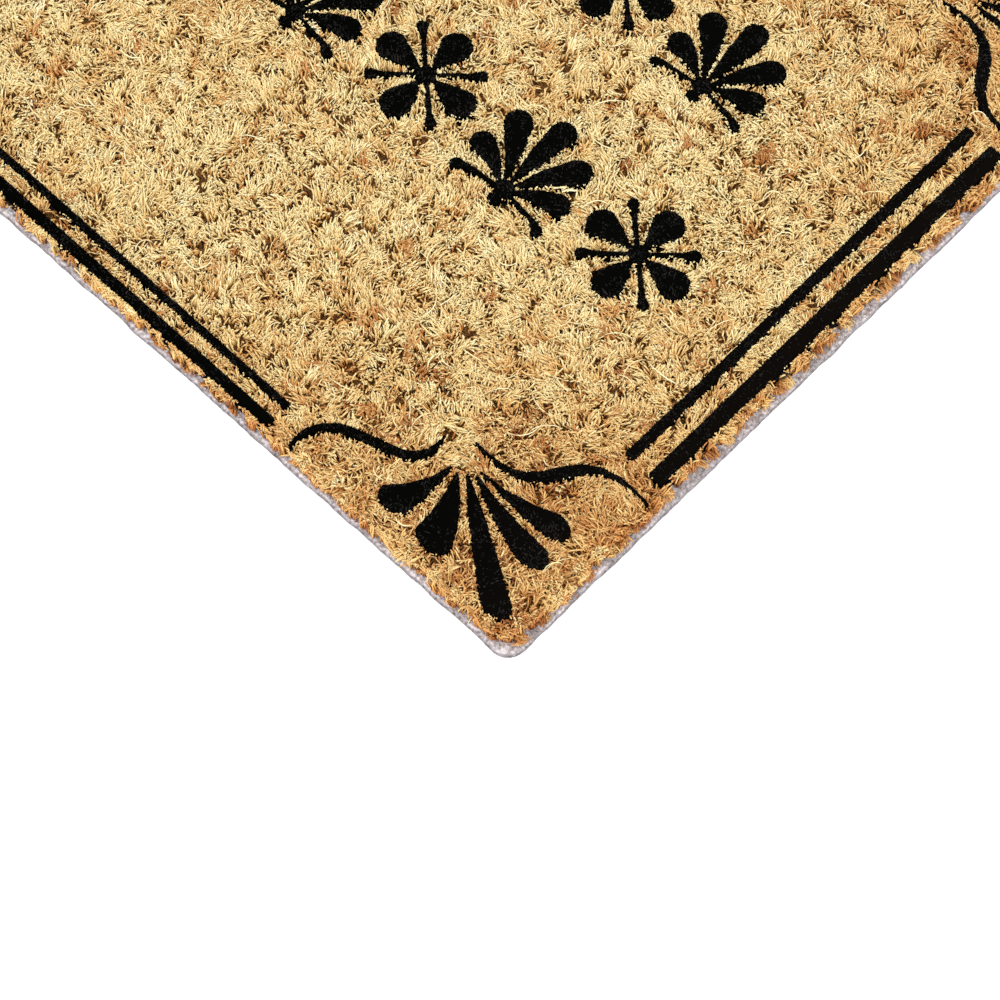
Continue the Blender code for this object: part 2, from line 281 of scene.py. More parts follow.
def near_border(grid, steps):
    """For each cell, 1 on the border of a mark and falling to 0 at the given number of cells from it."""
    border = np.zeros(grid.shape, bool)
    border[1:] |= grid[1:] != grid[:-1]
    border[:, 1:] |= grid[:, 1:] != grid[:, :-1]
    closeness = border.astype(np.float32)
    for step in range(1, steps):
        wider = border.copy()
        wider[1:] |= border[:-1]
        wider[:-1] |= border[1:]
        wider[:, 1:] |= border[:, :-1]
        wider[:, :-1] |= border[:, 1:]
        closeness[wider & ~border] = 1 - step / steps
        border = wider
    return closeness


MARK_GRID = rasterise_marks()
BORDER_GRID = near_border(MARK_GRID, BORDER_STEPS)


def cell_at(x, y):
    i = np.clip(np.round((x + HALF_LENGTH) / GRID_STEP).astype(int), 0, MARK_GRID.shape[0] - 1)
    j = np.clip(np.round((y + HALF_WIDTH) / GRID_STEP).astype(int), 0, MARK_GRID.shape[1] - 1)
    return i, j


def mark_at(x, y):
    return MARK_GRID[cell_at(x, y)]


# ---------------------------------------------------------------- materials
def node(tree, kind, **values):
    made = tree.nodes.new(kind)
    for name, value in values.items():
        setattr(made, name, value)
    return made


def new_material(name, roughness, specular):
    material = bpy.data.materials.new(name)
    material.use_nodes = True
    tree = material.node_tree
    shader = tree.nodes["Principled BSDF"]
    shader.inputs["Roughness"].default_value = roughness
    shader.inputs["Specular IOR Level"].default_value = specular
    return material, tree, shader


def noise(tree, place, scale, detail, distortion=0.0):
    """Value of a noise pattern over the coordinates in the socket place."""
    made = node(tree, "ShaderNodeTexNoise")
    made.inputs["Scale"].default_value = scale
    made.inputs["Detail"].default_value = detail
    made.inputs["Distortion"].default_value = distortion
    tree.links.new(place, made.inputs["Vector"])
    return made.outputs["Fac"]


def ramp(tree, factor, stops):
    made = node(tree, "ShaderNodeValToRGB")
    elements = made.color_ramp.elements
    while len(elements) < len(stops):
        elements.new(0.5)
    for element, (position, colour) in zip(elements, stops):
        element.position = position
        element.color = (*colour, 1.0)
    tree.links.new(factor, made.inputs["Fac"])
    return made.outputs["Color"]


def multiplied(tree, first, second):
    made = node(tree, "ShaderNodeMix", data_type="RGBA", blend_type="MULTIPLY")
    made.inputs[0].default_value = 1.0
    tree.links.new(first, made.inputs[6])
    tree.links.new(second, made.inputs[7])
    return made.outputs[2]


def fibre_material(name, tones, depth, roughness, specular):
    """Colour by the fibre map: across it runs the tone of each fibre, and up it the way from root to tip,
    which the depth ramp turns into painted shade, darkest at the root.
    """
    material, tree, shader = new_material(name, roughness, specular)
    place = node(tree, "ShaderNodeUVMap", uv_map="OFBake").outputs["UV"]
    split = node(tree, "ShaderNodeSeparateXYZ")
    tree.links.new(place, split.inputs[0])
    tone = ramp(tree, split.outputs["X"], tones)
    # painted shade: each fibre darker towards its root, where the fibres shade one another
    painted_root_shade = ramp(tree, split.outputs["Y"], depth)
    streaks = ramp(tree, noise(tree, place, 60.0, 3.0), STREAKS)
    colour = multiplied(tree, multiplied(tree, tone, painted_root_shade), streaks)
    tree.links.new(colour, shader.inputs["Base Color"])
    return material


def bed_material(name, tones):
    """The matted roots deep between the fibres."""
    material, tree, shader = new_material(name, 0.9, 0.1)
    place = node(tree, "ShaderNodeTexCoord").outputs["Object"]
    strands = noise(tree, place, 900.0, 4.0, 1.5)
    tree.links.new(ramp(tree, strands, tones), shader.inputs["Base Color"])
    return material


def backing_material():
    """Cast vinyl with chalky mottling and fine grit, with painted shade that darkens its cut edge towards the
    foot and painted light on its top.
    """
    material, tree, shader = new_material("backing_vinyl", 0.85, 0.2)
    place = node(tree, "ShaderNodeTexCoord").outputs["Object"]
    grit = noise(tree, place, 700.0, 5.0)
    cloud = noise(tree, place, 90.0, 3.0)
    colour = multiplied(tree, ramp(tree, grit, VINYL_GRIT), ramp(tree, cloud, VINYL_CLOUD))
    height = node(tree, "ShaderNodeSeparateXYZ")
    tree.links.new(place, height.inputs[0])
    level = node(tree, "ShaderNodeMapRange")
    level.inputs["From Min"].default_value = 0.0
    level.inputs["From Max"].default_value = BACKING_TOP
    tree.links.new(height.outputs["Z"], level.inputs["Value"])
    # painted shade down the edge and painted light on top, by height
    painted_height_shade = ramp(tree, level.outputs["Result"], VINYL_PAINTED_SHADE)
    tree.links.new(multiplied(tree, colour, painted_height_shade), shader.inputs["Base Color"])
    bump = node(tree, "ShaderNodeBump")
    bump.inputs["Strength"].default_value = 0.5
    bump.inputs["Distance"].default_value = 0.4 * MM
    tree.links.new(grit, bump.inputs["Height"])
    tree.links.new(bump.outputs["Normal"], shader.inputs["Normal"])
    return material


# ---------------------------------------------------------------- fibre meshes
class Strands:
    """Many strands at once, each given by its root, and by the height that it rises while it moves
    sideways by its lean, curls and droops."""

    def __init__(self, root, height, lean, curl, droop, radius, tone):
        self.parts = [root, height, lean, curl, droop, radius, tone]

    def pick(self, chosen):
        return Strands(*(part[chosen] for part in self.parts))

    def __len__(self):
        return len(self.parts[0])

    def at(self, t):
        """Centre points (strand, place, xyz) at the places t along each strand, from 0 at the root to 1."""
        root, height, lean, curl, droop, _, _ = self.parts
        side = np.stack([-lean[:, 1], lean[:, 0]], -1)
        side /= np.maximum(np.linalg.norm(side, axis=1), 1e-9)[:, None]
        leant = lean[:, None, :] * (EARLY_LEAN * t + (1 - EARLY_LEAN) * t**2)[..., None]
        swing = curl[:, None] * np.sin(math.pi * t * CURL_TURN)
        risen = (1 + droop[:, None]) * t - droop[:, None] * t**2
        points = np.empty((len(root), t.shape[1], 3))
        points[..., :2] = root[:, None, :2] + leant + side[:, None, :] * swing[..., None]
        points[..., 2] = root[:, None, 2] + height[:, None] * risen
        return points


def stretch(strands, start, end, shape=WHOLE):
    """Centre points, radii, tones and heights along the part of each strand from start to end.

    The shape gives the places of the rings on the stretch. WHOLE ends in a tip, and BLUNT where it is cut.
    """
    t = start[:, None] + (end - start)[:, None] * shape[None, :]
    radius, tone = strands.parts[5], strands.parts[6]
    return strands.at(t), radius[:, None] * (1 - TIP_TAPER * t), tone, t


def joined(stretches):
    return [np.concatenate(parts) for parts in zip(*stretches)]


def cut_at_marks(strands):
    """Stretches of strand by the mark that they are over: the print's edge cuts the strands that cross it."""
    count = len(strands)
    steps = np.linspace(0, 1, CUT_STEPS)
    points = strands.at(np.tile(steps, (count, 1)))
    over = mark_at(points[..., 0], points[..., 1])
    crosses = over != over[:, :1]
    first = crosses.argmax(1)
    crossing = crosses.any(1)
    cut = (first - 0.5) * steps[1]
    home, beyond = over[:, 0], over[np.arange(count), first]
    back = (over != beyond[:, None]) & (np.arange(len(steps)) > first[:, None])
    stop = np.where(back.any(1), (back.argmax(1) - 0.5) * steps[1], 1.0)
    by_mark = {number: [] for number in range(NATURAL, len(MARKS))}
    nought = np.zeros(count)
    for chosen, start, end, owner, shape in (
        (~crossing, nought, nought + 1, home, WHOLE),
        (crossing, nought, cut, home, BLUNT),
        (crossing, cut, stop, beyond, WHOLE),
    ):
        for number in np.unique(owner[chosen]):
            here = chosen & (owner == number)
            by_mark[number].append(stretch(strands.pick(here), start[here], end[here], shape))
    return {number: joined(stretches) for number, stretches in by_mark.items()}


def strand_faces(rings):
    """One strand's faces, with the place around the strand and the ring of each of their corners."""
    faces, across, levels = [], [], []
    for level in range(rings - 2):
        for side in range(SIDES):
            a, b = level * SIDES + side, level * SIDES + (side + 1) % SIDES
            left, right = side / SIDES, (side + 1) / SIDES
            faces.append((a, b, b + SIDES, a + SIDES))
            across.append((left, right, right, left))
            levels.append((level, level, level + 1, level + 1))
    last = (rings - 2) * SIDES
    tip = (rings - 1) * SIDES
    for side in range(SIDES):
        left, right = side / SIDES, (side + 1) / SIDES
        faces.append((last + side, last + (side + 1) % SIDES, tip))
        across.append((left, right, (left + right) / 2))
        levels.append((rings - 2, rings - 2, rings - 1))
    faces.append((2, 1, 0))
    across.append((1.0, 0.5, 0.0))
    levels.append((0, 0, 0))
    return faces, across, levels


def strand_part(stretches):
    """Mesh parts of closed three-sided strands, each with a capped root and a pointed tip."""
    paths, sizes, tone, heights = stretches
    count, rings = paths.shape[:2]
    generator = np.random.default_rng(count)
    along = np.gradient(paths, axis=1)
    along /= np.maximum(np.linalg.norm(along, axis=2, keepdims=True), 1e-12)
    turn = generator.uniform(0, 2 * math.pi, count)
    spread = np.stack([np.cos(turn), np.sin(turn), np.full(count, 0.35)], -1)[:, None, :]
    first = np.cross(along, spread)
    first /= np.maximum(np.linalg.norm(first, axis=2, keepdims=True), 1e-12)
    second = np.cross(along, first)
    per_strand = (rings - 1) * SIDES + 1
    points = np.empty((count, per_strand, 3))
    for side in range(SIDES):
        angle = 2 * math.pi * side / SIDES
        ring = paths + sizes[..., None] * (math.cos(angle) * first + math.sin(angle) * second)
        points[:, side : per_strand - 1 : SIDES] = ring[:, :-1]
    points[:, -1] = paths[:, -1]

    faces, across, levels = strand_faces(rings)
    face_sizes = np.array([len(face) for face in faces])
    corners, across, levels = (np.concatenate(rows) for rows in (faces, across, levels))
    loops = corners[None, :] + np.arange(count)[:, None] * per_strand
    uv = np.empty((count, len(corners), 2))
    uv[..., 0] = 0.01 + 0.94 * np.clip(tone, 0, 1)[:, None] + 0.04 * across[None, :]
    # up the map: the place along the strand, which the depth ramp turns into painted shade at the root
    uv[..., 1] = 0.01 + 0.97 * heights[:, levels]
    uv[:, -2, 1] += 0.01
    return points.reshape(-1, 3), loops.ravel(), np.tile(face_sizes, count), uv.reshape(-1, 2)


def base_part(mark):
    """Mesh parts of the matted dye under the tips of a mark: the mark's solid, a little lower."""
    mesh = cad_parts[mark].data
    points = np.array([vertex.co for vertex in mesh.vertices])
    middle = (points[:, 2].min() + points[:, 2].max()) / 2
    points[points[:, 2] > middle, 2] = DYED_BASE_LEVEL
    loops = np.array([loop.vertex_index for loop in mesh.loops])
    sizes = np.array([polygon.loop_total for polygon in mesh.polygons])
    x, y, z = points[loops].T
    uv = np.stack([0.3 + 0.2 * x / HALF_LENGTH + 10 * z, 0.7 + 0.2 * y / HALF_WIDTH], -1)
    return points, loops, sizes, uv


def fibre_piece(name, parts, materials, replaced):
    """One piece from mesh parts, each with its material, and the fibre map that its colours are read from."""
    offsets = np.concatenate([[0], np.cumsum([len(part[0]) for part in parts])[:-1]])
    points = np.concatenate([part[0] for part in parts])
    loops = np.concatenate([part[1] + offset for part, offset in zip(parts, offsets)])
    sizes = np.concatenate([part[2] for part in parts])
    uv = np.concatenate([part[3] for part in parts])
    slots = np.repeat(np.arange(len(parts)), [len(part[2]) for part in parts])
    mesh = bpy.data.meshes.new(name)
    mesh.vertices.add(len(points))
    mesh.vertices.foreach_set("co", points.astype(np.float32).ravel())
    mesh.loops.add(len(loops))
    mesh.loops.foreach_set("vertex_index", loops.astype(np.int32))
    mesh.polygons.add(len(sizes))
    mesh.polygons.foreach_set("loop_start", (np.cumsum(sizes) - sizes).astype(np.int32))
    mesh.polygons.foreach_set("use_smooth", sizes <= 4)
    mesh.uv_layers.new(name="OFBake").data.foreach_set("uv", uv.astype(np.float32).ravel())
    mesh.polygons.foreach_set("material_index", slots)
    for material in materials:
        mesh.materials.append(material)
    mesh.update(calc_edges=True)
    return placed(bpy.data.objects.new(name, mesh), replaced)


def placed(piece, replaced):
    bpy.context.scene.collection.objects.link(piece)
    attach(piece, "root")
    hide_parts(*replaced)
    return piece


# ---------------------------------------------------------------- the pile
def tuft_centres():
    """Where each tuft stands, and how its fibres lean, with a few tufts missing."""
    columns = int(2 * HALF_LENGTH / TUFT_SPACING)
    rows = int(2 * HALF_WIDTH / TUFT_SPACING)
    i, j = np.meshgrid(np.arange(columns), np.arange(rows), indexing="ij")
    i, j = i.ravel(), j.ravel()
    x = (i + 0.5 * (j % 2) + rng.uniform(-0.1, 0.9, i.size)) / columns * 2 * HALF_LENGTH - HALF_LENGTH
    y = (j + rng.uniform(0.0, 1.0, i.size)) / rows * 2 * HALF_WIDTH - HALF_WIDTH
    kept = rng.random(i.size) > TUFTS_MISSING
    x, y = x[kept], y[kept]
    heading = value_noise(x, y, FLOW_SIZE, 7) * math.pi * 1.3
    flow = np.stack([np.cos(heading), np.sin(heading)], -1) * FLOW_LEAN
    return x, y, flow + rng.normal(0, TUFT_LEAN, (len(x), 2))


def tufted_fibres(x, y, tuft_lean):
    """Roots, leans, sinks below the top and tones of the fibres in tufts, each fanned out like a brush."""
    tufts = len(x)
    tuft_sink = np.abs(rng.normal(0, TUFT_SINK, tufts))
    tuft_sink = tuft_sink + np.where(rng.random(tufts) < LOW_TUFTS, LOW_TUFT_SINK, 0)
    tuft_tone = TUFT_TONE + TONE_CLOUD * value_noise(x, y, TONE_CLOUD_SIZE, 8)
    tuft_tone = tuft_tone + rng.normal(0, TUFT_TONE_SPREAD, tufts)
    tuft_tone -= np.where(rng.random(tufts) < RED_TUFTS, rng.uniform(*RED_TONE_DROP, tufts), 0)
    index = np.repeat(np.arange(tufts), FIBRES_PER_TUFT)
    count = len(index)
    offset = rng.normal(0, TUFT_SPREAD, (count, 2))
    dome = DOME * np.minimum((offset**2).sum(1) / TUFT_SPREAD**2, DOME_LIMIT)
    deep = np.where(rng.random(count) < DEEP_FIBRES, rng.uniform(*DEEP_SINK, count), 0)
    sink = tuft_sink[index] + dome + (np.abs(rng.normal(0, 0.5, count)) + deep) * MM
    tone = tuft_tone[index] + rng.normal(0, FIBRE_TONE_SPREAD, count)
    return np.stack([x[index], y[index]], -1) + offset, tuft_lean[index] + offset * FAN_OUT, sink, tone


def loose_fibres():
    """The same of the short browner fibres that stand between the tufts."""
    root = rng.uniform(-1, 1, (LOOSE_FIBRES, 2)) * (HALF_LENGTH, HALF_WIDTH)
    lean = rng.normal(0, LOOSE_LEAN, (LOOSE_FIBRES, 2))
    sink = rng.uniform(*LOOSE_SINK, LOOSE_FIBRES) * MM
    return root, lean, sink, rng.normal(*LOOSE_TONE, LOOSE_FIBRES)


def pile_strands(x, y, tuft_lean):
    """All fibres of the pile: wilder and browner near edges and corners, with hollows, trim by the print."""
    root, lean, sink, tone = joined([tufted_fibres(x, y, tuft_lean), loose_fibres()])
    inside = edge_distance(root[:, 0], root[:, 1]) > pile_inset(root[:, 0], root[:, 1]) + ROOTS_INSIDE
    root, lean, sink, tone = root[inside], lean[inside], sink[inside], tone[inside]
    count = len(root)
    x, y = root.T
    to_edge = edge_distance(x, y)
    to_corner = HALF_LENGTH + HALF_WIDTH - np.abs(root).sum(1)

    wild = 0.25 + 0.4 * value_noise(x, y, WILD_SIZE, 9)
    wild = wild + np.clip(1 - to_edge / WILD_EDGE, 0, 1) + np.clip(1.3 - to_corner / CORNER_ZONE, 0, 1)
    wild = np.clip(wild, 0, 1)
    near_edge = np.clip(1 - np.minimum(to_edge / EDGE_TONE_ZONE, to_corner / CORNER_TONE_ZONE), 0, 1)
    near_corner = np.clip(1.25 - to_corner / DARK_CORNER_ZONE, 0, 1)
    hollow = np.clip(value_noise(x, y, HOLLOW_SIZE, 10) * 2.4 - 1.1 + 0.25 * near_corner, 0, 1)
    sink = sink * (0.7 + 0.4 * wild) + hollow * (0.5 + 2.6 * wild) * MM

    at_root = BORDER_GRID[cell_at(x, y)]
    lean *= (1 + 0.5 * wild)[:, None]
    lean += rng.normal(0, 1, (count, 2)) * ((0.55 + 1.3 * wild) * MM)[:, None]
    lean *= (1 - 0.4 * at_root)[:, None]
    ends = root + lean
    close = np.maximum(BORDER_GRID[cell_at(ends[:, 0], ends[:, 1])], at_root)
    sink = sink * (1 - 0.7 * close) + np.where(mark_at(x, y) == NATURAL, 0.7 * MM * close, 0)
    return Strands(
        root=np.column_stack([root, np.full(count, ROOT_LEVEL)]),
        height=PILE_TOP + PILE_RISE - sink - ROOT_LEVEL,
        lean=lean,
        curl=rng.normal(0, 1, count) * (0.55 + 1.0 * wild) * (1 - 0.75 * close) * MM,
        droop=rng.uniform(0.0, 0.8, count),
        radius=FIBRE_RADIUS * rng.uniform(0.6, 1.3, count),
        tone=tone - EDGE_TONE_DROP * near_edge - CORNER_TONE_DROP * near_corner,
    )


def field_of(place, half, fields):
    """Which of the equal fields, from -half to half, a place is in."""
    return np.clip(((place / half + 1) / 2 * fields).astype(int), 0, fields - 1)


def pile(x, y, tuft_lean):
    """The natural fibres, field by field, and then the dyed ones, mark by mark."""
    by_mark = cut_at_marks(pile_strands(x, y, tuft_lean))
    natural = fibre_material("natural_coir", NATURAL_TONES, NATURAL_PAINTED_SHADE, 0.75, 0.15)
    black = fibre_material("dyed_coir", BLACK_TONES, BLACK_PAINTED_SHADE, 0.55, 0.09)
    matted = fibre_material("matted_dye", BLACK_TONES, BLACK_PAINTED_SHADE, 0.95, 0.0)
    paths = by_mark[NATURAL][0]
    columns = field_of(paths[:, 0, 0], HALF_LENGTH, FIELD_COLUMNS)
    rows = field_of(paths[:, 0, 1], HALF_WIDTH, FIELD_ROWS)
    for column in range(FIELD_COLUMNS):
        for row in range(FIELD_ROWS):
            here = (columns == column) & (rows == row)
            part = strand_part([values[here] for values in by_mark[NATURAL]])
            name = f"coir_field_{column + 1}_{row + 1}"
            fibre_piece(name, [part], [natural], ["coir_pile"])
    for number, mark in enumerate(MARKS):
        shown = by_mark[number][0][..., 2].max(1) > DYED_BASE_LEVEL
        stretches = [values[shown] for values in by_mark[number]]
        stretches[2] = rng.uniform(0, 1, len(stretches[2])) ** 1.5
        parts = [strand_part(stretches), base_part(mark)]
        fibre_piece(f"dyed_{mark}", parts, [black, matted], [mark])
    return natural


def bed(tuft_x, tuft_y, tuft_lean):
    """The matted bed that the fibres rise from: a closed slab on the backing, with a mound per tuft."""
    columns, rows = int(2 * HALF_LENGTH / BED_STEP), int(2 * HALF_WIDTH / BED_STEP)
    x = np.linspace(-HALF_LENGTH, HALF_LENGTH, columns + 1)
    y = np.linspace(-HALF_WIDTH, HALF_WIDTH, rows + 1)
    x, y = np.meshgrid(x, y, indexing="ij")
    away_x, away_y = outward(x, y)
    short = np.maximum(pile_inset(x, y) + BED_MARGIN - edge_distance(x, y), 0)
    x, y = x - away_x * short, y - away_y * short

    mound = np.zeros(x.shape)
    foot_x, foot_y = tuft_x + 0.3 * tuft_lean[:, 0], tuft_y + 0.3 * tuft_lean[:, 1]
    near_i = np.round((foot_x + HALF_LENGTH) / (2 * HALF_LENGTH) * columns).astype(int)
    near_j = np.round((foot_y + HALF_WIDTH) / (2 * HALF_WIDTH) * rows).astype(int)
    for di in range(-MOUND_REACH, MOUND_REACH + 1):
        for dj in range(-MOUND_REACH, MOUND_REACH + 1):
            i, j = np.clip(near_i + di, 0, columns), np.clip(near_j + dj, 0, rows)
            away = np.hypot(x[i, j] - foot_x, y[i, j] - foot_y)
            np.maximum.at(mound, (i, j), np.exp(-((away / MOUND_RADIUS) ** 2)))
    z = ROOT_LEVEL + (MOUND_HEIGHT * mound + 0.4 * value_noise(x, y, 2.9 * MM, 11)) * MM
    depth = edge_distance(x, y) - pile_inset(x, y)
    z = np.minimum(z, BACKING_TOP + 0.4 * MM + np.maximum(depth - BED_MARGIN, 0) * 1.6)

    top = np.stack([x, y, z], -1).reshape(-1, 3)
    number = np.arange(len(top)).reshape(columns + 1, rows + 1)
    rim = np.concatenate([number[:, 0], number[-1, 1:], number[-2::-1, -1], number[0, -2:0:-1]])
    foot = top[rim]
    foot[:, 2] = BACKING_TOP - 0.4 * MM
    below = np.arange(len(rim)) + len(top)
    quads = np.stack([number[:-1, :-1], number[1:, :-1], number[1:, 1:], number[:-1, 1:]], -1)
    quads = quads.reshape(-1, 4)
    skirt = np.stack([np.roll(rim, -1), rim, below, np.roll(below, -1)], -1)
    faces = quads.tolist() + skirt.tolist() + [below[::-1].tolist()]
    mesh = bpy.data.meshes.new("pile_root_bed")
    mesh.from_pydata(np.concatenate([top, foot]).tolist(), [], faces)
    mesh.polygons.foreach_set("use_smooth", np.ones(len(faces), bool))
    # the roots' material holds painted shade: it is kept much darker than the fibres, for the shade deep in
    # the pile
    mesh.materials.append(bed_material("matted_roots_painted_shade", ROOT_TONES_AND_PAINTED_SHADE))
    mesh.materials.append(bed_material("dyed_roots", DYED_ROOT_TONES))
    centre = top[quads].mean(1)
    slots = np.zeros(len(faces), np.int32)
    slots[: len(quads)] = mark_at(centre[:, 0], centre[:, 1]) != NATURAL
    mesh.polygons.foreach_set("material_index", slots)
    placed(bpy.data.objects.new("pile_root_bed", mesh), ["coir_pile"])


def edge_points(count, depth_low, depth_high, generator):
    """Points spread along the mat's edge, each at a random depth inside the pile's foot."""
    x = generator.uniform(-HALF_LENGTH, HALF_LENGTH, count * 24)
    y = generator.uniform(-HALF_WIDTH, HALF_WIDTH, count * 24)
    depth = edge_distance(x, y) - pile_inset(x, y)
    here = (depth > depth_low) & (depth < depth_high)
    return x[here][:count], y[here][:count]


def fringe_strands():
    """Bundles of longer, redder fibres round the edge, which splay or hang, but not past the backing."""
    generator = np.random.default_rng(31)
    bundle_x, bundle_y = edge_points(FRINGE_BUNDLES, 0.5 * MM, 4.4 * MM, generator)
    bundles = len(bundle_x)
    index = np.repeat(np.arange(bundles), FIBRES_PER_BUNDLE)
    count = len(index)
    offset = generator.normal(0, BUNDLE_SPREAD, (count, 2))
    x, y = bundle_x[index] + offset[:, 0], bundle_y[index] + offset[:, 1]
    away_x, away_y = outward(bundle_x, bundle_y)
    at_end = np.abs(bundle_x) > HALF_LENGTH - 12 * MM
    hanging = generator.random(bundles) < np.where(at_end, HANGING_AT_ENDS, HANGING_AT_SIDES)
    out = generator.uniform(0.2, 3.0, bundles) + np.where(hanging, generator.uniform(1.2, 3.0, bundles), 0)
    bundle_lean = np.stack([away_x, away_y], -1) * out[:, None] * MM
    bundle_lean += generator.normal(0, 1.7 * MM, (bundles, 2))
    bundle_sink = generator.uniform(0, 1, bundles) ** 1.4 * 4.5
    bundle_tone = 0.44 + 0.12 * value_noise(bundle_x, bundle_y, 16 * MM, 33)
    bundle_tone = bundle_tone + generator.normal(0, 0.12, bundles)
    bundle_tone -= np.where(hanging, 0.12, 0)
    bundle_rise = generator.uniform(1.6, 3.4, bundles) * MM

    depth = edge_distance(x, y) - pile_inset(x, y)
    reach = np.clip(1 - depth / FRINGE_DEPTH, 0, 1)
    base = BACKING_TOP - 0.3 * MM
    sunk = np.abs(generator.normal(0, 1.0, count)) + bundle_sink[index] * (0.3 + 0.7 * reach)
    sunk *= 1 - 0.8 * BORDER_GRID[cell_at(x, y)]
    hangs = hanging[index]
    lean = bundle_lean[index] + offset * 0.4 + generator.normal(0, 0.7 * MM, (count, 2))
    away = np.column_stack([away_x, away_y])[index]
    past_edge = (lean * away).sum(1) + generator.uniform(0.0, 1.4, count) * MM - edge_distance(x, y)
    lean -= away * np.maximum(past_edge, 0)[:, None]
    strands = Strands(
        root=np.column_stack([x, y, np.full(count, base)]),
        height=np.where(hangs, bundle_rise[index], PILE_TOP + 0.3 * MM - sunk * MM - base),
        lean=lean,
        curl=generator.normal(0, 1.2 * MM, count),
        droop=np.where(hangs, generator.uniform(4.0, 7.5, count), generator.uniform(0.2, 1.9, count)),
        radius=FIBRE_RADIUS * generator.uniform(0.6, 1.2, count),
        tone=bundle_tone[index] - 0.08 * reach + generator.normal(0, 0.08, count),
    )
    return strands.pick(depth > -0.3 * MM)


def fringe(natural):
    """One piece of fringe for each side of the mat."""
    stretches = cut_at_marks(fringe_strands())[NATURAL]
    root_x, root_y = stretches[0][:, 0, 0], stretches[0][:, 0, 1]
    at_end = np.abs(root_x) > HALF_LENGTH - 8 * MM
    for name, here in (
        ("right", at_end & (root_x > 0)),
        ("left", at_end & (root_x <= 0)),
        ("back", ~at_end & (root_y > 0)),
        ("front", ~at_end & (root_y <= 0)),
    ):
        part = strand_part([values[here] for values in stretches])
        fibre_piece(f"edge_fringe_{name}", [part], [natural], ["coir_pile"])


def strays(natural):
    """Long pale fibres that lie over the pile, clear of the print and of the edge."""
    generator = np.random.default_rng(41)
    x = generator.uniform(-HALF_LENGTH + 5 * MM, HALF_LENGTH - 5 * MM, STRAYS)
    y = generator.uniform(-HALF_WIDTH + 4 * MM, HALF_WIDTH - 4 * MM, STRAYS)
    length = generator.uniform(6, 17, STRAYS) * MM
    heading = generator.uniform(0, 2 * math.pi, STRAYS)
    bend = generator.choice((-1, 1), STRAYS) * generator.uniform(0.5, 2.6, STRAYS)
    t = np.linspace(0, 1, STRAY_RINGS)
    angle = heading[:, None] + bend[:, None] * t[None, :]
    step = (length / (STRAY_RINGS - 1))[:, None]
    path_x = x[:, None] + np.cumsum(np.cos(angle) * step, axis=1)
    path_y = y[:, None] + np.cumsum(np.sin(angle) * step, axis=1)
    arch = generator.uniform(0.2, 1.7, STRAYS)[:, None] * np.sin(math.pi * t)[None, :] ** 0.6
    path_z = PILE_TOP - 1.4 * MM + arch * MM + generator.normal(0, 0.12 * MM, (STRAYS, STRAY_RINGS))
    clear = (mark_at(path_x, path_y) == NATURAL).all(1) & (edge_distance(path_x, path_y) > 2.5 * MM).all(1)
    paths = np.stack([path_x, path_y, path_z], -1)[clear]
    tone = np.clip(generator.normal(0.82, 0.1, STRAYS), 0, 0.97)[clear]
    radius = STRAY_RADIUS * generator.uniform(0.7, 1.3, STRAYS)[clear]
    # the strays lie over the pile, so they take only the light end of the painted root shade
    heights = np.tile(0.8 + 0.2 * t, (len(paths), 1))
    sizes = radius[:, None] * np.sin(math.pi * (0.2 + 0.75 * t))[None, :] ** 0.5
    part = strand_part([paths, sizes, tone, heights])
    fibre_piece("stray_fibres", [part], [natural], ["coir_pile"])


# ---------------------------------------------------------------- the backing
def outline_at(distance, long_side, short_side, quarter):
    """Place and outward direction on the mat's rounded outline, going round from the front long side."""
    inner_x, inner_y = HALF_LENGTH - CORNER_RADIUS, HALF_WIDTH - CORNER_RADIUS
    sides = (
        (long_side, (-inner_x, -HALF_WIDTH), (1, 0), (inner_x, -inner_y)),
        (short_side, (HALF_LENGTH, -inner_y), (0, 1), (inner_x, inner_y)),
        (long_side, (inner_x, HALF_WIDTH), (-1, 0), (-inner_x, inner_y)),
        (short_side, (-HALF_LENGTH, inner_y), (0, -1), (-inner_x, -inner_y)),
    )
    for number, (length, start, way, centre) in enumerate(sides):
        if distance <= length:
            normal = (way[1], -way[0])
            return (start[0] + way[0] * distance, start[1] + way[1] * distance), normal
        distance -= length
        if distance <= quarter:
            angle = math.pi / 2 * (number - 1 + distance / quarter)
            normal = (math.cos(angle), math.sin(angle))
            return (centre[0] + CORNER_RADIUS * normal[0], centre[1] + CORNER_RADIUS * normal[1]), normal
        distance -= quarter
    return sides[0][1], (0, -1)


def sheet_loops():
    """Rings of points from the foot of the sheet's edge, over its soft lip, and in under the pile."""
    quarter = CORNER_RADIUS * math.pi / 2
    long_side, short_side = 2 * (HALF_LENGTH - CORNER_RADIUS), 2 * (HALF_WIDTH - CORNER_RADIUS)
    perimeter = 2 * long_side + 2 * short_side + 4 * quarter
    outline, normals = [], []
    for step in range(OUTLINE_STEPS):
        place, normal = outline_at(step / OUTLINE_STEPS * perimeter, long_side, short_side, quarter)
        outline.append(place)
        normals.append(normal)
    outline, normals = np.array(outline), np.array(normals)
    wave = value_noise(outline[:, 0], outline[:, 1], 11 * MM, 51) * 0.45
    wave += value_noise(outline[:, 0], outline[:, 1], 3.2 * MM, 52) * 0.25
    wave += SIDE_OVERHANG * np.abs(normals[:, 1])
    loops = []
    for inset, height in OUTER_RINGS:
        edge = outline - normals * (inset * MM - (wave - 0.1) * MM)[:, None]
        loops.append(np.column_stack([edge, np.full(OUTLINE_STEPS, height * MM)]))
    for inset, height in TOP_RINGS:
        fade = max(0.0, 1 - inset / 6)
        edge = outline - normals * ((inset + 0.05) * MM - (wave - 0.1) * MM * fade)[:, None]
        bumps = value_noise(edge[:, 0], edge[:, 1], 2.3 * MM, 53) * 0.35
        bumps = bumps + value_noise(edge[:, 0], edge[:, 1], 6 * MM, 54) * 0.25
        loops.append(np.column_stack([edge, BACKING_TOP + (height + bumps) * MM]))
    return loops


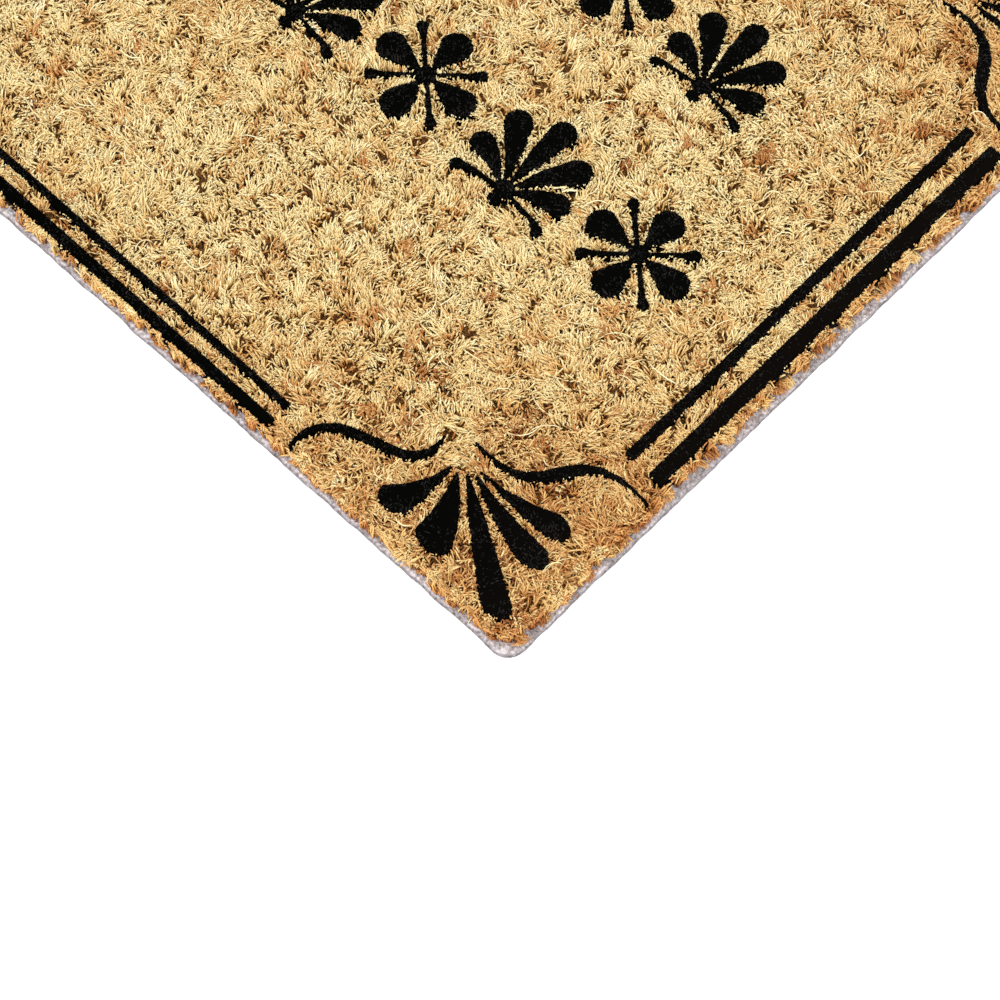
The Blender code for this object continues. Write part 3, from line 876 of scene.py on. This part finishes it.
def backing():
    """The cast sheet: a wavy rounded outline with a soft lip, bumpy on top and flat below."""
    loops = sheet_loops()
    around = np.arange(OUTLINE_STEPS)
    faces = []
    for level in range(len(loops) - 1):
        a = around + level * OUTLINE_STEPS
        b = np.roll(around, -1) + level * OUTLINE_STEPS
        faces += np.stack([a, b, b + OUTLINE_STEPS, a + OUTLINE_STEPS], -1).tolist()
    faces.append(around[::-1].tolist())
    faces.append((around + (len(loops) - 1) * OUTLINE_STEPS).tolist())
    mesh = bpy.data.meshes.new("backing_cast_sheet")
    mesh.from_pydata(np.concatenate(loops).tolist(), [], faces)
    mesh.polygons.foreach_set("use_smooth", np.ones(len(mesh.polygons), bool))
    mesh.materials.append(backing_material())
    placed(bpy.data.objects.new("backing_cast_sheet", mesh), ["backing_sheet"])


def backing_fuzz():
    """Short grey strands on the backing's lip, where the compound has drawn up the fibre ends."""
    generator = np.random.default_rng(61)
    x, y = edge_points(FUZZ_STRANDS, -7.0 * MM, 1.2 * MM, generator)
    keep = edge_distance(x, y) > 0.3 * MM
    x, y = x[keep], y[keep]
    count = len(x)
    away_x, away_y = outward(x, y)
    heading = generator.uniform(0, 2 * math.pi, count)
    reach = generator.uniform(0.6, 2.4, count) * MM
    lean = np.stack([np.cos(heading), np.sin(heading)], -1) * reach[:, None]
    strands = Strands(
        root=np.column_stack([x, y, np.full(count, BACKING_TOP - 0.35 * MM)]),
        height=generator.uniform(0.3, 1.3, count) * MM,
        lean=lean + np.stack([away_x, away_y], -1) * (0.3 * MM),
        curl=generator.normal(0, 0.5 * MM, count),
        droop=generator.uniform(0.2, 1.0, count),
        radius=FUZZ_RADIUS * generator.uniform(0.7, 1.4, count),
        tone=np.clip(generator.normal(0.62, 0.2, count), 0, 1),
    )
    stretches = stretch(strands, np.zeros(count), np.ones(count))
    inside = edge_distance(stretches[0][..., 0], stretches[0][..., 1]).min(1) > 0
    grey = fibre_material("backing_fuzz", FUZZ_TONES, FUZZ_PAINTED_SHADE, 0.8, 0.2)
    part = strand_part([values[inside] for values in stretches])
    fibre_piece("backing_fuzz", [part], [grey], ["backing_sheet"])


# ---------------------------------------------------------------- stage
def stage():
    """A plain pale floor, an even white sky and one wide soft light."""
    bpy.ops.mesh.primitive_plane_add(size=FLOOR_SIZE, location=(0, 0, FLOOR_LEVEL))
    floor = bpy.context.object
    floor.name = "studio_floor"
    material, _, shader = new_material("studio_white", 0.9, 0.0)
    shader.inputs["Base Color"].default_value = FLOOR_COLOUR
    floor.data.materials.append(material)

    world = bpy.data.worlds.new("studio_world")
    bpy.context.scene.world = world
    world.use_nodes = True
    background = world.node_tree.nodes["Background"]
    background.inputs["Color"].default_value = SKY_COLOUR
    background.inputs["Strength"].default_value = SKY_STRENGTH

    light = bpy.data.lights.new("key", "SUN")
    light.energy = KEY_STRENGTH
    light.angle = KEY_WIDTH
    lamp = bpy.data.objects.new("key", light)
    lamp.rotation_mode = "QUATERNION"
    lamp.rotation_quaternion = Vector(KEY_DIRECTION).to_track_quat("Z", "Y")
    lamp.location = (0, -1, 1)
    bpy.context.scene.collection.objects.link(lamp)


def camera():
    """A long lens high over the front right corner."""
    data = bpy.data.cameras.new("camera")
    data.sensor_width = CAMERA_SENSOR
    data.lens = CAMERA_LENS
    data.clip_start, data.clip_end = CAMERA_NEAR, CAMERA_FAR
    back = Vector(
        (
            math.sin(CAMERA_AZIMUTH) * math.cos(CAMERA_ELEVATION),
            -math.cos(CAMERA_AZIMUTH) * math.cos(CAMERA_ELEVATION),
            math.sin(CAMERA_ELEVATION),
        )
    )
    lens = bpy.data.objects.new("camera", data)
    lens.location = CAMERA_PLACE
    lens.rotation_mode = "QUATERNION"
    lens.rotation_quaternion = (-back).to_track_quat("-Z", "Y")
    bpy.context.scene.collection.objects.link(lens)
    bpy.context.scene.camera = lens


def main():
    camera()
    stage()
    tufts = tuft_centres()
    natural = pile(*tufts)
    bed(*tufts)
    fringe(natural)
    strays(natural)
    backing()
    backing_fuzz()
    view = bpy.context.scene.view_settings
    view.view_transform = "Standard"
    view.exposure = EXPOSURE
    view.gamma = GAMMA


main()
bpy.context.view_layer.update()
